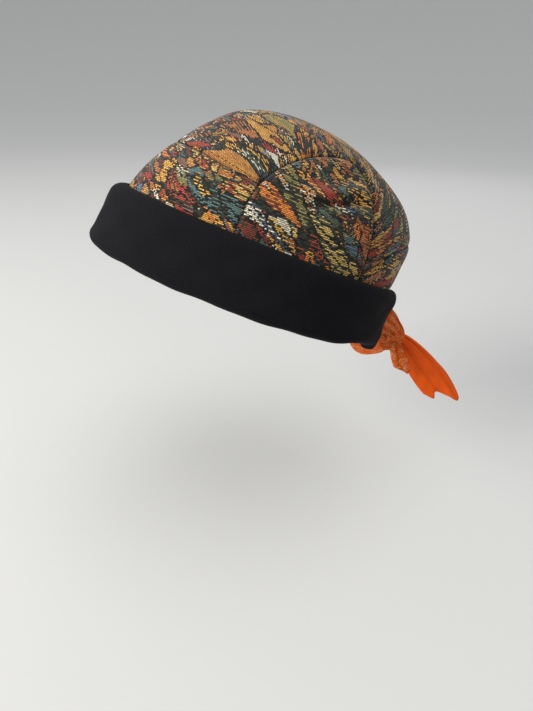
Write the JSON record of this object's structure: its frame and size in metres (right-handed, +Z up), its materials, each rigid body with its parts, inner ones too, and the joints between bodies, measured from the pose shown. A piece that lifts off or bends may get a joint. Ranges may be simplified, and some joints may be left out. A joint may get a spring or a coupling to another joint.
{
  "type": "docker hat",
  "caption": "Brimless domed cap of patchwork tapestry with a turned-up black cuff that is open at the back, where a knotted orange kerchief ties it.",
  "frame": {"origin": "middle of the head opening in the plane of the rim, where the hat sits on a head", "axes": "+Z up as worn, -Y towards the wearer's front, +X towards the wearer's left; the rim is tilted back 24 degrees and leans 10 degrees down to the wearer's right"},
  "size_m": [0.1906, 0.2842, 0.2218],
  "materials": {
    "tapestry": "woven multicolour jacquard, matt",
    "black_cotton": "matt fine-ribbed black cotton",
    "orange_patterned": "thin printed orange cotton, soft folds",
    "orange_plain": "thin plain orange cotton"
  },
  "bodies": {
    "root": {"crown_front": "tapestry", "crown_side_left": "tapestry", "crown_side_right": "tapestry", "crown_top": "tapestry", "crown_back": "tapestry", "cuff": "black_cotton", "tie_band_left": "orange_patterned", "tie_band_right": "orange_patterned", "tie_knot": "orange_patterned", "tie_tail_short": "orange_patterned", "tie_tail_long": "orange_plain"}
  },
  "joints": []
}
